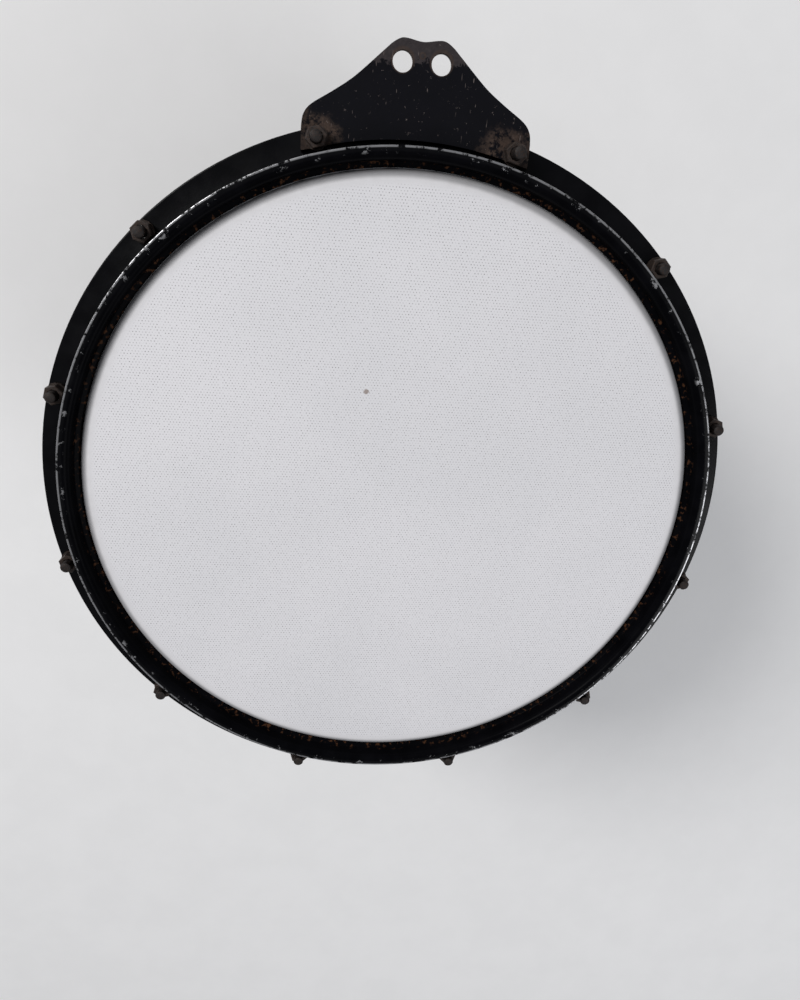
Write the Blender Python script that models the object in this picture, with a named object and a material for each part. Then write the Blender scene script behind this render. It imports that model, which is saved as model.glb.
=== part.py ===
"""A 14 inch marching snare drum with high-tension hoops, standing on its snare side.

The origin is the centre of the batter head's playing face. +Z runs up the drum's axis, out of the
batter head. +Y passes through the middle of the sling plate, and the snares run along X, with the
throw-off at -X and the butt plate at +X. All sizes are in metres.
"""

import math

import bmesh
import bpy
from mathutils import Matrix, Vector

# Clearances
GAP = 0.0003
RUNNING_GAP = 0.0004
SCREW_FIT = 0.0006

# Facets: sides of the large rings, of posts and screws, and of a washer
RING_SIDES = 48
POST_SIDES = 8
WASHER_SIDES = 12

# Shell of birch ply with a bearing edge at each end
SHELL_DIAMETER = 0.352
SHELL_DEPTH = 0.305
SHELL_WALL = 0.0075
BEARING_ROUND = 0.0031
VENT_RADIUS = 0.005
VENT_DEPTH = 0.150

# Heads: woven batter film, clear snare film, and the flesh hoops that grip them
BATTER_FILM = 0.0008
SNARE_FILM = 0.0005
FILM_SHOULDER = 0.006
FILM_SKIRT = 0.0125
SHOULDER_STEPS = 3
FLESH_FIT = 0.0004
CHANNEL_WALL = 0.0011
CHANNEL_STEP = 0.0011
FLESH_BODY = 0.0057
FLESH_FLOOR = 0.002

# Cast hoops: a toe that presses on the flesh hoop, a rounded rim and a flange for the tension nuts
PRESS_DEPTH = 0.0066
TOE_HEIGHT = 0.0027
LEDGE_WIDTH = 0.0026
LEDGE_RISE = 0.0013
BEAD_RADIUS = 0.0037
BEAD_STEPS = 2
HOOP_WALL = 0.0037
BATTER_RIM = 0.0066
SNARE_RIM = 0.015
RIM_EDGE = 0.0004
FLANGE_DEPTH = 0.0095
FLANGE_THICKNESS = 0.0044
FLANGE_WIDTH = 0.0128
FLANGE_EDGE = 0.0008
HOOP_FILLET = 0.0012
SKIRT_DROP = 0.003

# Tension posts: a tube on two pedestals, with a stud at the batter end and a bore at the other
BOLT_COUNT = 12
BOLT_INSET = 0.0055
STUD_RADIUS = 0.003
STUD_PROUD = 0.0054
STUD_POINT = 0.0008
TUBE_RADIUS = 0.0063
TUBE_TO_FLANGE = 0.016
BORE_LENGTH = 0.018
PEDESTAL_INSET = 0.034
PEDESTAL_HEIGHT = 0.016
PEDESTAL_WIDTH = 0.009
FOOT_HEIGHT = 0.026
FOOT_WIDTH = 0.016
FOOT_THICKNESS = 0.0025

# Nuts, bolts and their washers
HEX_ACROSS_FLATS = 0.010
NUT_HEIGHT = 0.0055
HEAD_HEIGHT = 0.005
HEX_CHAMFER = 0.0005
WASHER_RADIUS = 0.006
WASHER_THICKNESS = 0.0016
BOLT_ENGAGEMENT = 0.014

# Sling plate, pressed from steel, held by the two nuts nearest +Y
PLATE_THICKNESS = 0.003
PLATE_HALF_WIDTH = 0.0585
PLATE_TOP = 0.0490
PLATE_SHOULDER = 0.0100
PLATE_CORNER_RADIUS = 0.012
PLATE_LOBE_RADIUS = 0.0105
PLATE_FLANK_RISE = 0.0013
PLATE_GAP_TO_WALL = 0.0033
PLATE_DIP_DEPTH = 0.0014
SLING_HOLE_RADIUS = 0.0051
SLING_HOLE_SPACING = 0.0194
SLING_HOLE_SIDES = 16

# Snares: straight strands between two end bars
STRAND_COUNT = 14
STRAND_RADIUS = 0.0009
STRAND_PITCH = 0.0044
STRAND_SIDES = 6
BAR_LENGTH = 0.0066
BAR_THICKNESS = 0.004
BAR_MARGIN = 0.0015

# Jaws that hold the end bars
JAW_LIP = 0.002
JAW_WALL = 0.0021
JAW_MOUTH = 0.0006
JAW_MARGIN = 0.002
JAW_TO_HOOP = 0.0015
GATE_MARGIN = 0.0025

# Strainer: base, sliding carriage and throw-off lever
BASE_HEIGHT = 0.056
BASE_LIFT = 0.050
BASE_FOOT_WIDTH = 0.0076
BASE_WALL = 0.0035
FOOT_PLATE = 0.003
CARRIAGE_THICKNESS = 0.0036
CARRIAGE_WIDTH = 0.024
CARRIAGE_TO_FLANGE = 0.0009
RAIL_WALL = 0.004
RAIL_LIP = 0.0034
RAIL_LIP_THICKNESS = 0.0022
THROW = 0.005
CAM_RADIUS = 0.007
CAM_SIDES = 24
YOKE_BAR = 0.003
YOKE_REACH = 0.0105
YOKE_WIDTH = 0.0092
LEVER_ARM = 0.0034
LEVER_HUB = 0.0045
LEVER_FORK = 0.018
LEVER_LENGTH = 0.064
LEVER_THICKNESS = 0.005
LEVER_TIP_OUT = 0.004
PIN_RADIUS = 0.0016
PIVOT_DROP = 0.016
EAR_REACH = 0.005

# Butt plate: bracket, clamp on a threaded stud and the thumb nut that draws it out
CLAMP_TRAVEL = 0.0024
BRACKET_THICKNESS = 0.0035
BRACKET_WIDTH = 0.028
BRACKET_GAP = 0.0035
BRACKET_TO_FLOOR = 0.006
KNOB_RADIUS = 0.0085
KNOB_LENGTH = 0.008
KNOB_FLUTES = 14
KNOB_FLUTE_DEPTH = 0.0007
CLAMP_STUD_RADIUS = 0.003
CLAMP_STUD_PROUD = 0.0045

# Screws that hold the strainer and the butt bracket to the shell
SCREW_RADIUS = 0.002
SCREW_HEAD_RADIUS = 0.0036
SCREW_HEAD_HEIGHT = 0.002
SCREW_LENGTH = 0.009

# Radii from the drum's axis, outwards
SHELL_R = SHELL_DIAMETER / 2
CHANNEL_R = SHELL_R + FLESH_FIT
FILM_INNER_R = CHANNEL_R + CHANNEL_WALL + GAP
FILM_OUTER_R = FILM_INNER_R + BATTER_FILM
CREST_R = FILM_OUTER_R - FILM_SHOULDER
FLESH_IN_R = FILM_OUTER_R + GAP
FLESH_OUT_R = FLESH_IN_R + FLESH_BODY
TOE_R = FILM_OUTER_R + RUNNING_GAP
WALL_IN_R = FLESH_OUT_R + RUNNING_GAP
WALL_R = WALL_IN_R + HOOP_WALL
FLANGE_R = WALL_R + FLANGE_WIDTH
BOLT_R = FLANGE_R - BOLT_INSET
BEAD_R = WALL_IN_R + HOOP_WALL / 2 - BEAD_RADIUS / 4

# Heights on the drum's axis
SNARE_FACE = -(BATTER_FILM + SNARE_FILM + SHELL_DEPTH + 2 * GAP)
BATTER_SEAT = -FLANGE_DEPTH
SNARE_SEAT = SNARE_FACE + FLANGE_DEPTH
FLOOR = SNARE_FACE - SNARE_RIM
TUBE_TOP = BATTER_SEAT - FLANGE_THICKNESS - TUBE_TO_FLANGE
TUBE_BOTTOM = SNARE_SEAT + FLANGE_THICKNESS + TUBE_TO_FLANGE
STRAND_Z = SNARE_FACE - GAP - STRAND_RADIUS

# Fasteners
HEX_RADIUS = HEX_ACROSS_FLATS / 2 / math.cos(math.pi / 6)
HOLE_RADIUS = STUD_RADIUS + SCREW_FIT
BOLT_STEP = 2 * math.pi / BOLT_COUNT
BOLT_ANGLES = [BOLT_STEP * (index + 0.5) for index in range(BOLT_COUNT)]
PLATE_ANGLES = sorted(BOLT_ANGLES, key=lambda angle: abs(angle - math.pi / 2))[:2]

# Snare mechanism, as radial distances and heights
STRAND_SPREAD = STRAND_PITCH * (STRAND_COUNT - 1) / 2
BAR_HALF = STRAND_SPREAD + STRAND_RADIUS + BAR_MARGIN
JAW_HALF = BAR_HALF + JAW_MARGIN
GATE_HALF = STRAND_SPREAD + STRAND_RADIUS + GATE_MARGIN
JAW_HEIGHT = BAR_THICKNESS + 2 * (RUNNING_GAP + JAW_WALL)
MOUTH_HALF = STRAND_RADIUS + JAW_MOUTH
CAVITY_HALF = BAR_THICKNESS / 2 + RUNNING_GAP
STRAINER_JAW_R = WALL_R + JAW_TO_HOOP
STRAINER_BAR_R = STRAINER_JAW_R + JAW_LIP + RUNNING_GAP
BUTT_JAW_R = STRAINER_JAW_R + CLAMP_TRAVEL
BUTT_BAR_R = BUTT_JAW_R + JAW_LIP + RUNNING_GAP
BASE_TOP = SNARE_SEAT + FLANGE_THICKNESS + BASE_LIFT + BASE_HEIGHT / 2
BASE_BOTTOM = BASE_TOP - BASE_HEIGHT
CARRIAGE_IN_R = FLANGE_R + CARRIAGE_TO_FLANGE
CARRIAGE_OUT_R = CARRIAGE_IN_R + CARRIAGE_THICKNESS
CAM_OFFSET = THROW / 2 / math.sin(math.pi / 4)
PIVOT_R = CARRIAGE_OUT_R + CAM_RADIUS - THROW / 2 + RUNNING_GAP
PIVOT_Z = BASE_TOP - PIVOT_DROP
PIN_HOLE_RADIUS = PIN_RADIUS + GAP
SCREW_T = CARRIAGE_WIDTH / 2 + RUNNING_GAP + RAIL_WALL + BASE_FOOT_WIDTH / 2


# Scene and materials


def clear_scene():
    for old in list(bpy.data.objects):
        bpy.data.objects.remove(old, do_unlink=True)


def material(name, color, roughness, metallic=0.0, alpha=1.0):
    made = bpy.data.materials.new(name)
    made.use_nodes = True
    shader = made.node_tree.nodes["Principled BSDF"]
    shader.inputs["Base Color"].default_value = (*color, 1.0)
    shader.inputs["Roughness"].default_value = roughness
    shader.inputs["Metallic"].default_value = metallic
    shader.inputs["Alpha"].default_value = alpha
    made.diffuse_color = (*color, alpha)
    return made


# Mesh helpers


def new_object(name, shape, look=None):
    """Turns a bmesh into an object with its faces out and its round parts shaded smooth."""
    bmesh.ops.recalc_face_normals(shape, faces=shape.faces)
    mesh = bpy.data.meshes.new(name)
    shape.to_mesh(mesh)
    shape.free()
    mesh.shade_smooth()
    mesh.set_sharp_from_angle(angle=math.radians(40))
    made = bpy.data.objects.new(name, mesh)
    bpy.context.scene.collection.objects.link(made)
    if look:
        mesh.materials.append(look)
    return made


def loft(rings, closed):
    """Joins rings of points in turn, and closes the shape as a tube or with flat ends."""
    shape = bmesh.new()
    loops = [[shape.verts.new(point) for point in ring] for ring in rings]
    count = len(loops)
    for index in range(count if closed else count - 1):
        here, there = loops[index], loops[(index + 1) % count]
        for side in range(len(here)):
            after = (side + 1) % len(here)
            shape.faces.new((here[side], here[after], there[after], there[side]))
    if not closed:
        shape.faces.new(loops[0])
        shape.faces.new(loops[-1])
    return shape


def revolve(profile, sides, closed=False):
    """Turns (radius, height) points about Z. An open profile is capped flat at both ends."""
    turn = [2 * math.pi * (side + 0.5) / sides for side in range(sides)]
    rings = [[(r * math.cos(a), r * math.sin(a), z) for a in turn] for r, z in profile]
    return loft(rings, closed)


def prism(outline, low, high, axis):
    """Extrudes a flat outline: (x, y) along z, (x, z) along y, or (y, z) along x."""
    order = {"x": (2, 0, 1), "y": (0, 2, 1), "z": (0, 1, 2)}[axis]
    rings = []
    for level in (low, high):
        corners = [(a, b, level) for a, b in outline]
        rings.append([tuple(corner[i] for i in order) for corner in corners])
    return loft(rings, closed=False)


def block(x, y, z):
    """A box given by its two limits on each axis."""
    outline = [(x[0], y[0]), (x[1], y[0]), (x[1], y[1]), (x[0], y[1])]
    return prism(outline, z[0], z[1], "z")


def rod(radius, start, end, sides):
    """A cylinder between two points on a line parallel to an axis."""
    start, end = Vector(start), Vector(end)
    shape = revolve([(radius, 0.0), (radius, (end - start).length)], sides)
    turn = Vector((0, 0, 1)).rotation_difference(end - start).to_matrix().to_4x4()
    bmesh.ops.transform(shape, matrix=Matrix.Translation(start) @ turn, verts=shape.verts)
    return shape


def arc(centre, radius, start, end, steps):
    """Points on an arc, from one angle in degrees to another."""
    angles = [math.radians(start + (end - start) * step / steps) for step in range(steps + 1)]
    return [(centre[0] + radius * math.cos(a), centre[1] + radius * math.sin(a)) for a in angles]


def merged(shapes):
    """Several separate closed shapes as one cutter."""
    whole = bmesh.new()
    for shape in shapes:
        piece = bpy.data.meshes.new("piece")
        bmesh.ops.recalc_face_normals(shape, faces=shape.faces)
        shape.to_mesh(piece)
        shape.free()
        whole.from_mesh(piece)
        bpy.data.meshes.remove(piece)
    return whole


def combine(target, shape, operation):
    """Adds a Boolean modifier whose tool is a hidden helper object."""
    helper = new_object(f"{target.name}_{operation.lower()}_tool", shape)
    helper.hide_render = True
    helper.display_type = "WIRE"
    boolean = target.modifiers.new(operation.title(), "BOOLEAN")
    boolean.operation = operation
    boolean.solver = "EXACT"
    boolean.object = helper
    return boolean


def finished_mesh(target, name):
    """The mesh with its modifiers applied, to be shared by copies. The object and its tools go."""
    graph = bpy.context.evaluated_depsgraph_get()
    mesh = bpy.data.meshes.new_from_object(target.evaluated_get(graph))
    mesh.name = name
    for modifier in target.modifiers:
        bpy.data.objects.remove(modifier.object, do_unlink=True)
    bpy.data.objects.remove(target, do_unlink=True)
    return mesh


def seat(target, origin, angle=0.0):
    """Puts the object's origin at a point of its own drawing, then turns both about the axis."""
    target.data.transform(Matrix.Translation(-Vector(origin)))
    target.location = Matrix.Rotation(angle, 4, "Z") @ Vector(origin)
    target.rotation_euler.z = angle
    for modifier in target.modifiers:
        seat(modifier.object, origin, angle)


def around(name, mesh, angles, radius, height):
    """Copies of a mesh on the bolt circle, numbered from 01."""
    for number, angle in enumerate(angles, 1):
        copy = bpy.data.objects.new(f"{name}_{number:02d}", mesh)
        copy.location = (radius * math.cos(angle), radius * math.sin(angle), height)
        copy.rotation_euler.z = angle
        bpy.context.scene.collection.objects.link(copy)


# Rings: shell, heads, flesh hoops and hoops


def at_batter(depth):
    return -depth


def at_snare(depth):
    return SNARE_FACE + depth


def shell(look, brass):
    top, bottom = -(BATTER_FILM + GAP), SNARE_FACE + SNARE_FILM + GAP
    inner = SHELL_R - SHELL_WALL
    slope = CREST_R - inner
    profile = []
    for edge, way in ((top, -1), (bottom, 1)):
        corner = [
            (inner, edge + way * slope),
            (CREST_R, edge),
            (CREST_R + (SHELL_R - CREST_R) * 0.7, edge + way * BEARING_ROUND * 0.4),
            (SHELL_R, edge + way * BEARING_ROUND),
        ]
        profile += corner if way < 0 else corner[::-1]
    made = new_object("shell", revolve(profile, RING_SIDES, closed=True), look)
    hole = VENT_RADIUS + SHELL_WALL / 8 + GAP
    vent_z = -VENT_DEPTH
    far = SHELL_R + SHELL_WALL
    cutter = rod(hole, (0, -far, vent_z), (0, -(inner - SHELL_WALL), vent_z), WASHER_SIDES)
    combine(made, cutter, "DIFFERENCE")
    vent_grommet(brass, hole - RUNNING_GAP, inner, vent_z)


def vent_grommet(look, radius, inner, height):
    """A brass eyelet: a short tube through the shell with a rolled flange outside."""
    face = SHELL_R + GAP
    flange = radius * 1.6
    lip = SHELL_WALL / 8
    profile = [
        (VENT_RADIUS, inner),
        (radius, inner),
        (radius, face),
        (flange, face),
        (flange - lip / 2, face + lip),
        (VENT_RADIUS, face + lip),
    ]
    made = new_object("vent_grommet", revolve(profile, WASHER_SIDES, closed=True), look)
    made.data.transform(Matrix.Rotation(math.pi / 2, 4, "X"))
    seat(made, (0, -face, 0))
    made.location.z = height


def head(name, film, level, look):
    """A film drawn over the bearing edge, with its collar running down into the flesh hoop."""
    inner_shoulder = FILM_SHOULDER - film
    outer_r = FILM_INNER_R + film
    crest = outer_r - FILM_SHOULDER
    outer = arc((crest, -FILM_SHOULDER), FILM_SHOULDER, 90, 0, SHOULDER_STEPS)
    inner = arc((crest, -FILM_SHOULDER), inner_shoulder, 0, 90, SHOULDER_STEPS)
    skirt = [(outer_r, -FILM_SKIRT), (FILM_INNER_R, -FILM_SKIRT)]
    profile = [(r, level(-z)) for r, z in outer + skirt + inner]
    return new_object(name, revolve(profile, RING_SIDES), look)


def flesh_hoop(name, level, look):
    """An aluminium channel, open towards the head, in which the film's edge is set."""
    top = PRESS_DEPTH + GAP
    floor = FILM_SKIRT + GAP
    profile = [
        (CHANNEL_R, top + CHANNEL_STEP),
        (CHANNEL_R + CHANNEL_WALL, top + CHANNEL_STEP),
        (CHANNEL_R + CHANNEL_WALL, floor),
        (FLESH_IN_R, floor),
        (FLESH_IN_R, top),
        (FLESH_OUT_R, top),
        (FLESH_OUT_R, floor + FLESH_FLOOR),
        (CHANNEL_R, floor + FLESH_FLOOR),
    ]
    profile = [(r, level(depth)) for r, depth in profile]
    return new_object(name, revolve(profile, RING_SIDES, closed=True), look)


def hoop(name, rim, level, look):
    """A cast hoop: toe, ledge, rounded rim, wall, flange and a skirt round the flesh hoop."""
    toe_top = PRESS_DEPTH - TOE_HEIGHT
    under = FLANGE_DEPTH + FLANGE_THICKNESS
    bead = arc((BEAD_R, -(rim - BEAD_RADIUS)), -BEAD_RADIUS, 0, 90, BEAD_STEPS)
    profile = [
        (TOE_R, PRESS_DEPTH),
        (TOE_R, toe_top),
        (TOE_R + LEDGE_WIDTH, toe_top - LEDGE_RISE),
        *bead,
        (WALL_R - RIM_EDGE, -rim),
        (WALL_R, RIM_EDGE - rim),
        (WALL_R, FLANGE_DEPTH - HOOP_FILLET),
        (WALL_R + HOOP_FILLET, FLANGE_DEPTH),
        (FLANGE_R - FLANGE_EDGE, FLANGE_DEPTH),
        (FLANGE_R, FLANGE_DEPTH + FLANGE_EDGE),
        (FLANGE_R, under),
        (WALL_R, under),
        (WALL_R, under + SKIRT_DROP),
        (WALL_IN_R, under + SKIRT_DROP),
        (WALL_IN_R, PRESS_DEPTH),
    ]
    profile = [(r, level(depth)) for r, depth in profile]
    made = new_object(name, revolve(profile, RING_SIDES, closed=True), look)
    low, high = sorted((level(0), level(2 * under)))
    holes = []
    for angle in BOLT_ANGLES:
        x, y = BOLT_R * math.cos(angle), BOLT_R * math.sin(angle)
        holes.append(rod(HOLE_RADIUS, (x, y, low), (x, y, high), POST_SIDES))
    combine(made, merged(holes), "DIFFERENCE")
    return made


def cut_snare_gates(target):
    """Opens the snare hoop's lip at both ends of the snares, down to its lower edge."""
    reach = (TOE_R - HOOP_WALL, WALL_R + HOOP_WALL)
    depth = (FLOOR - SNARE_RIM, SNARE_FACE + RUNNING_GAP)
    gates = [block(reach, (-GATE_HALF, GATE_HALF), depth)]
    gates.append(block((-reach[1], -reach[0]), (-GATE_HALF, GATE_HALF), depth))
    combine(target, merged(gates), "DIFFERENCE")


# Tension posts, nuts and bolts


def post_mesh(name, seat_height, look):
    """A tube with its bore below and its stud above, on two pedestals that stand on the shell."""
    stack = GAP + WASHER_THICKNESS + NUT_HEIGHT + STUD_PROUD
    tip = seat_height + stack
    bore = HOLE_RADIUS
    profile = [
        (bore, TUBE_BOTTOM + BORE_LENGTH),
        (bore, TUBE_BOTTOM),
        (TUBE_RADIUS, TUBE_BOTTOM),
        (TUBE_RADIUS, TUBE_TOP),
        (STUD_RADIUS, TUBE_TOP),
        (STUD_RADIUS, tip - STUD_POINT),
        (STUD_RADIUS - STUD_POINT, tip),
    ]
    post = new_object(name, revolve(profile, POST_SIDES), look)
    back = SHELL_R + GAP - BOLT_R
    for height in (TUBE_TOP - PEDESTAL_INSET, TUBE_BOTTOM + PEDESTAL_INSET):
        combine(post, pedestal(back, height), "UNION")
    return finished_mesh(post, name)


def pedestal(back, height):
    """A foot plate against the shell and a neck that narrows towards the tube."""
    foot = [(-FOOT_WIDTH / 2, FOOT_HEIGHT / 2), (FOOT_WIDTH / 2, FOOT_HEIGHT / 2)]
    neck = [(-PEDESTAL_WIDTH / 2, PEDESTAL_HEIGHT / 2), (PEDESTAL_WIDTH / 2, PEDESTAL_HEIGHT / 2)]
    rings = []
    for x, (left, right) in ((back, foot), (back + FOOT_THICKNESS, foot), (back + 2 * FOOT_THICKNESS, neck), (0.0, neck)):
        rings.append(
            [
                (x, left[0], height - left[1]),
                (x, right[0], height - right[1]),
                (x, right[0], height + right[1]),
                (x, left[0], height + left[1]),
            ]
        )
    return loft(rings, closed=False)


def hexagon(low, high, way):
    """A hexagon bar from one height to another, chamfered at the end that `way` points to."""
    chamfered = HEX_RADIUS - HEX_CHAMFER
    profile = [(HEX_RADIUS, low), (HEX_RADIUS, high - way * HEX_CHAMFER), (chamfered, high)]
    return revolve(profile, 6)


def nut_mesh(look):
    """A hexagon nut fused with its washer, with the seat at height 0."""
    low = GAP
    washer = [(WASHER_RADIUS, low), (WASHER_RADIUS, low + WASHER_THICKNESS)]
    nut = new_object("batter_nut", revolve(washer, WASHER_SIDES), look)
    top = low + WASHER_THICKNESS + NUT_HEIGHT
    combine(nut, hexagon(low + WASHER_THICKNESS / 2, top, 1), "UNION")
    combine(nut, rod(HOLE_RADIUS, (0, 0, low - top), (0, 0, 2 * top), POST_SIDES), "DIFFERENCE")
    return finished_mesh(nut, "batter_nut")


def bolt_mesh(look):
    """A hexagon-headed bolt fused with its washer, pointing up, with the seat at height 0."""
    high = -GAP
    shank = TUBE_BOTTOM - SNARE_SEAT + BOLT_ENGAGEMENT
    profile = [
        (WASHER_RADIUS, high - WASHER_THICKNESS),
        (WASHER_RADIUS, high),
        (STUD_RADIUS, high),
        (STUD_RADIUS, shank),
    ]
    bolt = new_object("snare_bolt", revolve(profile, POST_SIDES), look)
    bottom = high - WASHER_THICKNESS - HEAD_HEIGHT
    combine(bolt, hexagon(high - WASHER_THICKNESS / 2, bottom, -1), "UNION")
    return finished_mesh(bolt, "snare_bolt")


def fasteners(looks):
    plain = [angle for angle in BOLT_ANGLES if angle not in PLATE_ANGLES]
    on_plate = BATTER_SEAT + GAP + PLATE_THICKNESS
    kinds = {BATTER_SEAT: plain, on_plate: PLATE_ANGLES}
    posts = {height: post_mesh("tension_post", height, looks["post"]) for height in kinds}
    nut, bolt = nut_mesh(looks["nut"]), bolt_mesh(looks["bolt"])
    for height, angles in kinds.items():
        for angle in angles:
            number = BOLT_ANGLES.index(angle) + 1
            single(f"tension_post_{number:02d}", posts[height], angle, 0.0)
            single(f"batter_nut_{number:02d}", nut, angle, height)
            single(f"snare_bolt_{number:02d}", bolt, angle, SNARE_SEAT)


def single(name, mesh, angle, height):
    """One copy of a mesh on the bolt circle."""
    copy = bpy.data.objects.new(name, mesh)
    copy.location = (BOLT_R * math.cos(angle), BOLT_R * math.sin(angle), height)
    copy.rotation_euler.z = angle
    bpy.context.scene.collection.objects.link(copy)


# Sling plate


def plate_outline():
    """The right half from the foot of its side up to the middle, then mirrored."""
    inner_r = WALL_R + PLATE_GAP_TO_WALL
    top = inner_r - PLATE_GAP_TO_WALL + PLATE_TOP
    lobe = (SLING_HOLE_SPACING / 2, top - PLATE_LOBE_RADIUS)
    foot_y = math.sqrt(inner_r**2 - PLATE_HALF_WIDTH**2)
    shoulder_y = foot_y + PLATE_SHOULDER
    corner = (PLATE_HALF_WIDTH - PLATE_CORNER_RADIUS, shoulder_y)
    flank = math.degrees(math.atan2(corner[0] - lobe[0], lobe[1] - corner[1]))
    side = [(PLATE_HALF_WIDTH, foot_y)]
    side += arc(corner, PLATE_CORNER_RADIUS, 0, 90 - flank / 2, 4)
    start, end = side[-1], arc(lobe, PLATE_LOBE_RADIUS, 90 - flank / 2, 90, 1)[0]
    for share in (0.25, 0.5, 0.75):
        sag = 4 * PLATE_FLANK_RISE * share * (1 - share)
        side.append(
            (
                start[0] + (end[0] - start[0]) * share,
                start[1] + (end[1] - start[1]) * share - sag,
            )
        )
    side += arc(lobe, PLATE_LOBE_RADIUS, 90 - flank / 2, 95, 4)
    side.append((0.0, top - PLATE_DIP_DEPTH))
    left = [(-x, y) for x, y in side[-2::-1]]
    edge = math.degrees(math.atan2(foot_y, PLATE_HALF_WIDTH))
    lower = arc((0, 0), inner_r, 180 - edge, edge, 10)[1:-1]
    return side + left + lower, lobe


def sling_plate(look):
    outline, lobe = plate_outline()
    low = BATTER_SEAT + GAP
    made = new_object("sling_plate", prism(outline, low, low + PLATE_THICKNESS, "z"), look)
    reach = (low - PLATE_THICKNESS, low + 2 * PLATE_THICKNESS)
    holes = []
    for side in (-1, 1):
        x, y = side * lobe[0], lobe[1]
        holes.append(rod(SLING_HOLE_RADIUS, (x, y, reach[0]), (x, y, reach[1]), SLING_HOLE_SIDES))
    for angle in PLATE_ANGLES:
        x, y = BOLT_R * math.cos(angle), BOLT_R * math.sin(angle)
        holes.append(rod(HOLE_RADIUS, (x, y, reach[0]), (x, y, reach[1]), POST_SIDES))
    combine(made, merged(holes), "DIFFERENCE")


# Snares


def snare_strands(look):
    """Fourteen straight strands whose ends are cast into two bars. The origin is the butt bar."""
    half = BAR_THICKNESS / 2
    span = (-(STRAINER_BAR_R + BAR_LENGTH), BUTT_BAR_R + BAR_LENGTH)
    bars = [(span[0], span[0] + BAR_LENGTH), (span[1] - BAR_LENGTH, span[1])]
    levels = (STRAND_Z - half, STRAND_Z + half)
    made = new_object("snare_strands", block(bars[0], (-BAR_HALF, BAR_HALF), levels), look)
    combine(made, block(bars[1], (-BAR_HALF, BAR_HALF), levels), "UNION")
    strands = []
    for index in range(STRAND_COUNT):
        y = index * STRAND_PITCH - STRAND_SPREAD
        ends = [(x, y, STRAND_Z) for x in (span[0] + BAR_LENGTH / 2, span[1] - BAR_LENGTH / 2)]
        strands.append(rod(STRAND_RADIUS, ends[0], ends[1], STRAND_SIDES))
    combine(made, merged(strands), "UNION")
    seat(made, (span[1] - BAR_LENGTH / 2, 0, STRAND_Z))


def jaw_outline(inner, cavity):
    """A C-shaped channel in (radius, height) that holds an end bar, open towards the drum."""
    half = JAW_HEIGHT / 2
    mouth_end = inner + JAW_LIP
    back = mouth_end + cavity
    outer = back + JAW_WALL
    upper = [
        (inner, MOUTH_HALF),
        (inner, half),
        (outer, half),
    ]
    hollow = [(back, CAVITY_HALF), (mouth_end, CAVITY_HALF), (mouth_end, MOUTH_HALF)]
    lower = [(r, -z) for r, z in upper[::-1]]
    below = [(r, -z) for r, z in hollow[::-1]]
    outline = upper + lower + below + hollow
    return [(r, STRAND_Z + z) for r, z in outline], outer


# Strainer, drawn at +X and then turned to -X


def base_outline(front, rails):
    """The open-backed section of a base, in (radius, width), with or without its rails."""
    back = SHELL_R + GAP
    plate = CARRIAGE_WIDTH / 2 + RUNNING_GAP
    outer = plate + RAIL_WALL
    half = [
        (back, outer - BASE_WALL),
        (back, outer + BASE_FOOT_WIDTH),
        (back + FOOT_PLATE, outer + BASE_FOOT_WIDTH),
        (back + FOOT_PLATE, outer),
    ]
    if rails:
        lip = CARRIAGE_OUT_R + RUNNING_GAP
        half += [
            (lip + RAIL_LIP_THICKNESS, outer),
            (lip + RAIL_LIP_THICKNESS, plate - RAIL_LIP),
            (lip, plate - RAIL_LIP),
            (lip, plate),
            (front, plate),
        ]
    else:
        half.append((front, outer))
    hollow = [(front - BASE_WALL, -(outer - BASE_WALL)), (front - BASE_WALL, outer - BASE_WALL)]
    return half + [(r, -t) for r, t in half[::-1]] + hollow


def screw_holes(target):
    """Four screw holes through the feet of a base."""
    back = SHELL_R + GAP
    holes = []
    for height in screw_heights():
        for side in (-1, 1):
            y = side * SCREW_T
            ends = ((back - FOOT_PLATE, y, height), (back + 2 * FOOT_PLATE, y, height))
            holes.append(rod(SCREW_RADIUS + GAP, ends[0], ends[1], POST_SIDES))
    combine(target, merged(holes), "DIFFERENCE")


def screw_heights():
    return (BASE_TOP - BASE_HEIGHT / 5, BASE_BOTTOM + BASE_HEIGHT / 5)


def strainer_base(look):
    front = CARRIAGE_IN_R - RUNNING_GAP
    made = new_object("strainer_base", prism(base_outline(front, True), BASE_BOTTOM, BASE_TOP, "z"), look)
    lip = CARRIAGE_OUT_R + RUNNING_GAP
    inner = CARRIAGE_WIDTH / 2 + RUNNING_GAP - RAIL_LIP
    outer = inner + RAIL_LIP
    ear = [(lip + RAIL_LIP_THICKNESS / 2, PIVOT_Z - EAR_REACH), (PIVOT_R, PIVOT_Z - EAR_REACH)]
    ear += arc((PIVOT_R, PIVOT_Z), EAR_REACH, -60, 60, 4)
    ear += [(PIVOT_R, PIVOT_Z + EAR_REACH), (lip + RAIL_LIP_THICKNESS / 2, PIVOT_Z + EAR_REACH)]
    ears = [prism(ear, inner, outer, "y"), prism(ear, -outer, -inner, "y")]
    combine(made, merged(ears), "UNION")
    combine(made, pin_bore(outer), "DIFFERENCE")
    screw_holes(made)
    seat(made, (SHELL_R + GAP, 0, BASE_BOTTOM), math.pi)


def pin_bore(half):
    ends = ((PIVOT_R, -2 * half, PIVOT_Z), (PIVOT_R, 2 * half, PIVOT_Z))
    return rod(PIN_HOLE_RADIUS, ends[0], ends[1], POST_SIDES)


def lever_pin(look):
    half = CARRIAGE_WIDTH / 2 + RUNNING_GAP + RAIL_WALL / 4
    ends = ((PIVOT_R, -half, PIVOT_Z), (PIVOT_R, half, PIVOT_Z))
    made = new_object("lever_pin", rod(PIN_RADIUS, ends[0], ends[1], POST_SIDES), look)
    seat(made, (PIVOT_R, 0, PIVOT_Z), math.pi)


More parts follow.
